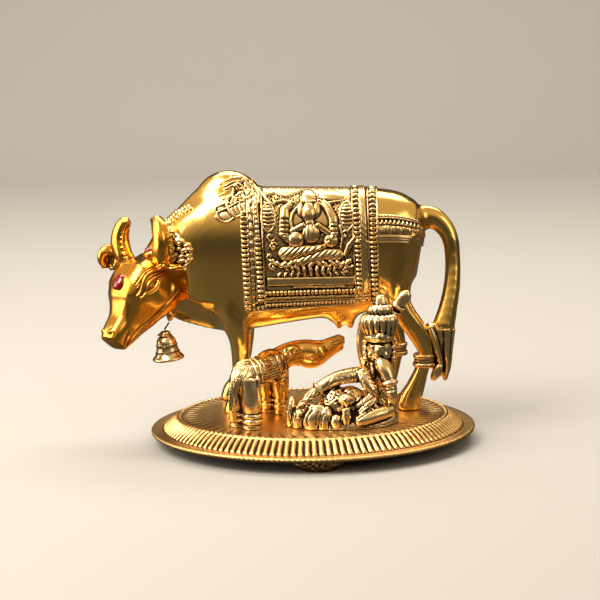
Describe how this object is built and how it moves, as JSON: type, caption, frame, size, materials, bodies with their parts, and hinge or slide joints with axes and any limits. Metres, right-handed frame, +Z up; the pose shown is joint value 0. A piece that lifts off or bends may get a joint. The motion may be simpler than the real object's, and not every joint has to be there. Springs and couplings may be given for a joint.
{
  "type": "cow, calf and crowned figure statuette",
  "caption": "Gilt cast statuette of a standing cow with a carved saddle cloth and bell, her calf and a crowned seated figure, on an oval plate with ribbed edge and feet.",
  "frame": {"origin": "on the ground, under the middle of the outline of the whole figure", "axes": "+X from the cow's head towards her tail, -Y towards the viewer and the side with the calf and the seated figure, +Z up"},
  "size_m": [0.1896, 0.13, 0.1358],
  "materials": {
    "plate_gold": "worn gold plating, dark in the recesses",
    "cow_gold": "polished gold plating, dark in the carving",
    "calf_gold": "polished gold plating",
    "figure_gold": "pale gold plating, dark in the recesses",
    "bell_brass": "pale polished brass",
    "wire": "dark thin wire",
    "red_stone": "clear deep red, glossy",
    "red_crest": "deep red, glossy"
  },
  "bodies": {
    "root": {"base_plate": "plate_gold", "cow": "cow_gold", "calf": "calf_gold", "seated_figure": "figure_gold", "bell": "bell_brass", "bell_wire": "wire", "forehead_stone": "red_stone", "crest_stone": "red_crest"}
  },
  "joints": []
}
